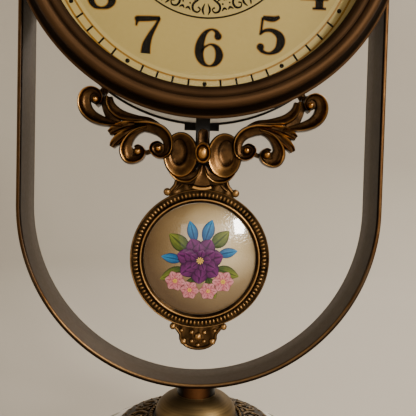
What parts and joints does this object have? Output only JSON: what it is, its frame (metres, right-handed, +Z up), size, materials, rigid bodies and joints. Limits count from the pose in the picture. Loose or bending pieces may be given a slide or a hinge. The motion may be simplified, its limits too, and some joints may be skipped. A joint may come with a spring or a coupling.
{
  "type": "desk pendulum clock",
  "caption": "Desk clock on a domed ceramic foot: a metal loop carries a round head with a dial, and a swinging pendulum with a porcelain medallion hangs in the loop.",
  "frame": {"origin": "centre of the base's underside, on the surface it stands on", "axes": "+Z up, -Y toward the person reading the dial, +X to that person's right"},
  "size_m": [0.1922, 0.1482, 0.4045],
  "materials": {
    "glazed_white": "glossy glaze with painted flowers",
    "glazed_cream": "glossy glaze with a painted spray",
    "antique_bronze": "antiqued, rubbed on raised edges",
    "antique_brass": "brushed and antiqued",
    "dark_copper": "polished and darkened",
    "frame_bronze": "satin dark bronze with coppery edges",
    "drum_grey": "satin",
    "black_plastic": "fine moulded grain",
    "black_steel": "satin black",
    "clear_glass": "polished",
    "dial_cream": "printed, matt",
    "spacer_brown": "matt",
    "steel": "bright",
    "gear_white": "moulded",
    "gear_black": "moulded",
    "copper_wire": "lacquered winding",
    "board_green": "lacquered",
    "battery_label": "plain printed sleeve",
    "magnet_grey": "plated",
    "felt_green": "felt",
    "hand_black": "satin black"
  },
  "bodies": {
    "case": {"base_felt": "felt_green", "ceramic_base": "glazed_white", "base_filigree_plate": "antique_bronze", "base_dome": "antique_brass", "neck_collar": "dark_copper", "tie_bolt": "steel", "base_washer": "steel", "base_nut": "steel", "frame_band": "frame_bronze", "frame_screws": "steel", "frame_nuts": "steel", "case_drum": "drum_grey", "front_bezel": "antique_bronze", "bezel_screws": "steel", "glass_lens": "clear_glass", "dial_spacer_ring": "spacer_brown", "dial_plate": "dial_cream", "dial_retaining_ring": "steel", "back_cover": "black_plastic", "back_cover_screws": "steel", "door_hinge_pin": "steel", "movement_front_shell": "black_plastic", "movement_rear_shell": "black_plastic", "train_bridge": "gear_white", "center_washer": "steel", "center_nut": "antique_brass", "stator": "steel", "drive_coil": "copper_wire", "circuit_board": "board_green", "quartz_crystal": "steel", "battery": "battery_label", "battery_contact_plus": "steel", "battery_contact_minus": "steel", "scroll_ornament": "antique_bronze", "scroll_screws": "steel", "pivot_pin": "steel", "pendulum_coil": "copper_wire"},
    "minute": {"center_wheel": "gear_white", "minute_hand": "hand_black"},
    "hour": {"hour_wheel": "gear_black", "hour_hand": "hand_black"},
    "setting": {"minute_wheel": "gear_black", "set_knob": "gear_white"},
    "third": {"third_wheel": "gear_black"},
    "seconds": {"seconds_wheel": "gear_white", "second_hand": "hand_black"},
    "intermediate": {"intermediate_wheel": "gear_black"},
    "rotor": {"rotor": "gear_white"},
    "pendulum": {"hanger_arm": "black_plastic", "drive_magnet": "magnet_grey", "pendulum_rod": "black_steel", "rod_screws": "steel", "medallion_frame": "antique_bronze", "porcelain_cabochon": "glazed_cream", "medallion_back_plate": "antique_bronze", "medallion_screws": "steel"},
    "door": {"access_door": "black_plastic"}
  },
  "joints": [
    {"name": "minute_turn", "type": "hinge", "parent": "case", "child": "minute", "pos_m": [0, -0.0167, 0.30844], "axis": [0, 1, 0], "continuous": true},
    {"name": "hour_turn", "type": "hinge", "parent": "case", "child": "hour", "pos_m": [0, -0.0167, 0.30844], "axis": [0, 1, 0], "continuous": true},
    {"name": "setting_turn", "type": "hinge", "parent": "case", "child": "setting", "pos_m": [-0.01096, -0.0167, 0.29748], "axis": [0, 1, 0], "continuous": true},
    {"name": "third_turn", "type": "hinge", "parent": "case", "child": "third", "pos_m": [-0.01061, -0.0167, 0.31905], "axis": [0, 1, 0], "continuous": true},
    {"name": "seconds_turn", "type": "hinge", "parent": "case", "child": "seconds", "pos_m": [0, -0.0167, 0.30844], "axis": [0, 1, 0], "continuous": true},
    {"name": "intermediate_turn", "type": "hinge", "parent": "case", "child": "intermediate", "pos_m": [0.0112, -0.0167, 0.30844], "axis": [0, 1, 0], "continuous": true},
    {"name": "rotor_turn", "type": "hinge", "parent": "case", "child": "rotor", "pos_m": [0.01737, -0.0167, 0.30109], "axis": [0, 1, 0], "continuous": true},
    {"name": "pendulum_swing", "type": "hinge", "parent": "case", "child": "pendulum", "pos_m": [0, -0.0167, 0.27443], "axis": [0, 1, 0], "range_deg": [-5, 5]},
    {"name": "door_hinge", "type": "hinge", "parent": "case", "child": "door", "pos_m": [-0.0442, 0.02395, 0.30844], "axis": [0, 0, 1], "range_deg": [0, 110]}
  ],
  "couplings": [
    {"joint": "hour_turn", "follows": "minute_turn", "ratio": 0.083333},
    {"joint": "setting_turn", "follows": "minute_turn", "ratio": -0.33333},
    {"joint": "third_turn", "follows": "minute_turn", "ratio": -8},
    {"joint": "seconds_turn", "follows": "minute_turn", "ratio": 60},
    {"joint": "intermediate_turn", "follows": "minute_turn", "ratio": -360},
    {"joint": "rotor_turn", "follows": "minute_turn", "ratio": 1800}
  ]
}
